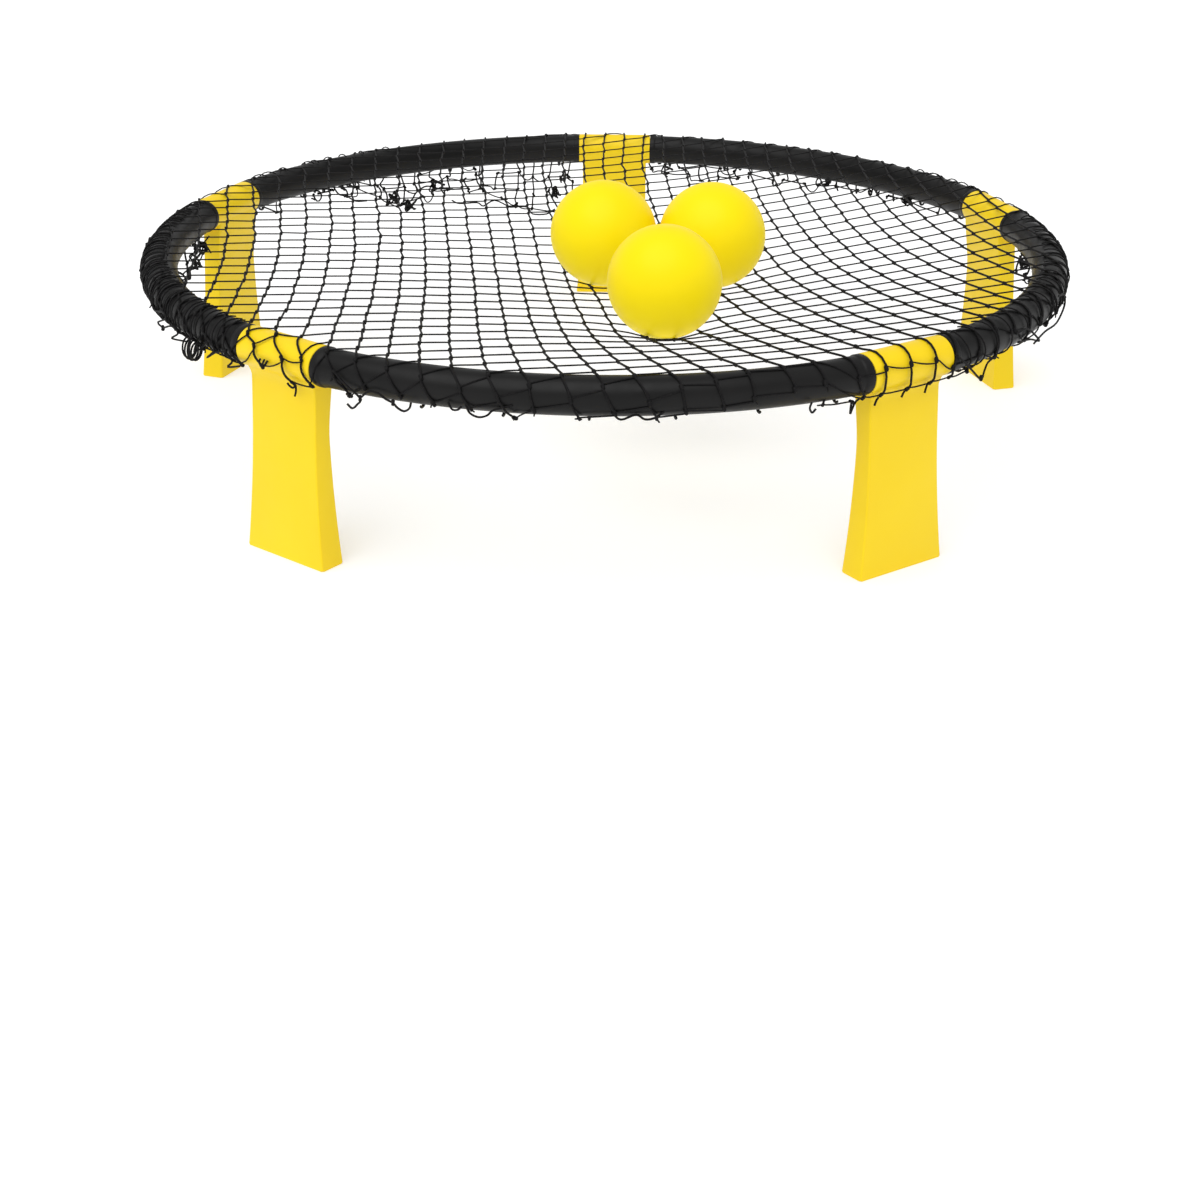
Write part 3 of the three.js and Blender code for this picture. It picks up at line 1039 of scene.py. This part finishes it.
# Spare net under the tube: (azimuth, mm above the tube's middle at its lowest), gap, rows.
FRINGES = [
    ([(142, -20), (134, -30), (128, -46), (124, -54), (120, -38), (112, -46)], 19, 2),
    ([(112, -48), (106, -64), (99, -82), (97, -60)], 18, 3),
    ([(84, -24), (76, -31), (70, -27)], 18, 2),
    ([(68, -22), (46, -20)], 20, 1),
    ([(42, -22), (32, -21)], 18, 1),
    ([(170, -36), (178, -50), (186, -38), (192, -26)], 18, 2),
    ([(-6, -24), (2, -32), (9, -38)], 20, 2),
]
# Each tangle: azimuth, mm outside and above the tube's middle, mm along and up, strands.
TANGLES = [
    (127.5, -8, -42, 9, 9, 2),
    (124.4, -8, -54, 6, 7, 2),
    (120.0, -8, -34, 9, 7, 1),
    (99.6, -6, -54, 5, 9, 3),
    (98.4, -6, -34, 4, 8, 1),
    (81.0, -6, -22, 8, 4, 1),
    (54.0, -6, -19, 4, 3, 1),
    (38.5, -6, -20, 6, 4, 2),
    (177.0, -14, -30, 8, 11, 1),
    (172.2, -12, -22, 5, 10, 2),
    (2.0, -12, -16, 5, 6, 2),
]
# Spare strands wound round the tube: from and to azimuth, degrees apart, mm of slant.
WOUND = [
    (-46, -24, 3.2, 14),
    (-24, 10, 2.0, 14),
    (26, 38, 2.2, 10),
    (169, 227, 0.95, 5),
    (128, 154, 3.0, 8),
]


def near_ring(azimuth, out, up):
    """A place given by azimuth in degrees and mm from the tube's middle."""
    turn = np.radians(azimuth)
    reach = RING + np.asarray(out) * MM
    return np.stack(
        [reach * np.cos(turn), reach * np.sin(turn), RING_Z + np.asarray(up) * MM + 0 * turn],
        -1,
    )


def wound_strand(builder, azimuth, slanting):
    """A strand of spare net lying round the outside of the tube."""
    share = np.linspace(0, 1, 14)
    turn = np.radians(110 - 195 * share)
    slant = slanting * rng.uniform(0.4, 1.5) * (1 if rng.random() < 0.8 else -1)
    bend = rng.normal(0, 0.12) * slanting * np.sin(2 * np.pi * share)
    bend = bend + rng.normal(0, 0.2) * slanting * np.sin(np.pi * share)
    lift = TUBE + ROW_CORD + (1.1 + 0.5 * np.sin(np.pi * share * rng.integers(1, 4))) * MM
    angle = math.radians(azimuth) + (slant * (share - 0.5) + bend) * MM / RING
    radial = RING + lift * np.cos(turn)
    place = np.stack(
        [radial * np.cos(angle), radial * np.sin(angle), RING_Z + lift * np.sin(turn)], -1
    )
    builder.tube(place, ROW_CORD, 6)
    if rng.random() < 0.5:
        spot = rng.integers(4, 11)
        way = unit(place[spot + 1] - place[spot])
        add_knot(builder, place[spot], way, unit(place[spot] - near_ring(azimuth, 0, 0)), 0.9)


def tangle(builder, azimuth, out, up, along, high, strands):
    """Crumpled cord hanging in a small bunch."""
    turn = math.radians(azimuth)
    frame_axes = np.array(
        [[-math.sin(turn), math.cos(turn), 0], [math.cos(turn), math.sin(turn), 0], [0, 0, 1]]
    )
    for _ in range(strands):
        spread = rng.uniform(-1, 1, (9, 3)) * np.array([along, 6, high]) * MM
        points = curve(near_ring(azimuth, out, up) + spread @ frame_axes, 5)
        builder.tube(points, rng.uniform(0.85, 1.05) * COLUMN_CORD, 6)
        for spot in rng.integers(4, len(points) - 4, 3):
            way = unit(points[spot + 1] - points[spot])
            add_knot(builder, points[spot], way, unit(rng.normal(0, 1, 3)), 0.85)


def slack_cord(builder, a, b, radius, length=23 * MM):
    """A cord longer than the gap between its knots, sagging in a soft curve."""
    span = np.linalg.norm(b - a)
    bow = 0.5 * math.sqrt(max(length**2 - span**2, 0)) + 1 * MM
    way = unit(np.array([0, 0, -0.7]) + rng.normal(0, 0.7, 3))
    other = unit(rng.normal(0, 1, 3))
    t = np.linspace(0, 1, 9)[:, None]
    points = a + (b - a) * t + way * bow * np.sin(np.pi * t)
    builder.tube(points + other * 0.4 * bow * np.sin(2 * np.pi * t), radius, 6)


def fringe(builder, profile, gap, rows):
    """Spare net hanging crumpled under the tube, down to the heights in the profile."""
    line = np.array(profile, float)
    count = round(math.radians(abs(line[-1, 0] - line[0, 0])) * RING / (gap * MM))
    azimuths = np.linspace(line[0, 0], line[-1, 0], count)
    order = np.argsort(line[:, 0])
    lowest = np.interp(azimuths, line[order, 0], line[order, 1])
    knots = []
    for azimuth, low in zip(azimuths, lowest):
        share = np.linspace(0, 1, rows + 1) ** 0.9
        up = -13 + (low + 13) * share + rng.normal(0, 2.5, rows + 1) * (share > 0)
        across = rng.normal(0, 4, rows + 1) * (share > 0) - 6 * share
        along = np.degrees(rng.normal(0, 4.5, rows + 1) * (share > 0) * MM / RING)
        knots.append(near_ring(azimuth + along, across, up))
    for k, line in enumerate(knots):
        for m in range(rows):
            if rng.random() < 0.85:
                slack_cord(builder, line[m], line[m + 1], COLUMN_CORD, 19 * MM)
            if k and rng.random() < 0.85:
                slack_cord(builder, knots[k - 1][m + 1], line[m + 1], ROW_CORD * 1.15)
            way = unit(rng.normal(0, 1, 3))
            add_knot(builder, line[m + 1], way, unit(rng.normal(0, 1, 3)), 0.95)
        if rng.random() < 0.5:
            end = line[-1] + (rng.normal(0, 3, 3) - np.array([0, 0, 3])) * MM
            slack_cord(builder, line[-1], end, COLUMN_CORD, 8 * MM)


def coil(builder):
    """A curled-up cut end below the left of the ring."""
    turn = np.linspace(0, 5.2 * 2 * np.pi, 110)
    share = turn / turn[-1]
    size = 9.6 - 2 * share + 0.7 * np.sin(1.7 * turn)
    azimuth = 220.2 + 2.2 * share + 0.05 * size * np.sin(turn)
    points = near_ring(azimuth, 24 + size * 0.8 * np.sin(turn), -13 + size * np.cos(turn))
    builder.tube(points, 0.9 * COLUMN_CORD, 6)


def build_loose_ends(material):
    builder = Builder()
    for out, line in STRANDS:
        places = [near_ring(a, out, up) for a, up in line]
        builder.tube(curve(places), 0.95 * COLUMN_CORD, 6)
    for out, azimuth, up in STRAND_KNOTS:
        add_knot(
            builder,
            near_ring(azimuth, out, up),
            np.array([0, 0, 1.0]),
            unit(near_ring(azimuth, 1, 0) - near_ring(azimuth, 0, 0)),
        )
    for spec in TANGLES:
        tangle(builder, *spec)
    for spec in FRINGES:
        fringe(builder, *spec)
    for low, high, gap, slanting in WOUND:
        azimuth = low
        while azimuth < high:
            wound_strand(builder, azimuth, slanting)
            azimuth += gap * rng.uniform(0.6, 1.4)
    coil(builder)
    builder.object("net_loose_ends", material, "frame", "net_cord")


# ---- making it all --------------------------------------------------------------------------

make_camera()
bpy.context.scene.view_settings.view_transform = "Standard"
make_world()
make_softbox()
make_floor()
black_plastic = moulded(
    "black_moulded_plastic",
    dark=(0.0055, 0.0055, 0.0055),
    light=(0.0095, 0.0092, 0.0092),
    rough=(0.34, 0.48),
    specular=0.16,
    grain=900,
    grain_depth=0.12 * MM,
)
yellow_plastic = moulded(
    "yellow_moulded_plastic",
    dark=(0.87, 0.61, 0.002),
    light=(0.91, 0.655, 0.004),
    rough=(0.38, 0.5),
    specular=0.3,
    grain=1100,
    grain_depth=0.1 * MM,
)
ball_skin = moulded(
    "yellow_ball_rubber",
    dark=(0.95, 0.73, 0.001),
    light=(0.98, 0.78, 0.002),
    rough=(0.4, 0.5),
    specular=0.14,
    grain=1400,
    grain_depth=0.1 * MM,
)
valve_rubber = moulded(
    "valve_rubber",
    dark=(0.62, 0.44, 0.01),
    light=(0.7, 0.5, 0.02),
    rough=(0.5, 0.65),
    specular=0.3,
    grain=1500,
    grain_depth=0.1 * MM,
)
black_rubber = moulded(
    "black_rubber",
    dark=(0.01, 0.01, 0.01),
    light=(0.02, 0.02, 0.02),
    rough=(0.65, 0.85),
    specular=0.2,
    grain=700,
    grain_depth=0.2 * MM,
)
net_cord = cord_material("black_braided_cord")
make_rim(black_plastic)
make_legs(yellow_plastic, black_rubber)
make_balls(ball_skin, valve_rubber)
Net().build(net_cord)
build_loose_ends(net_cord)
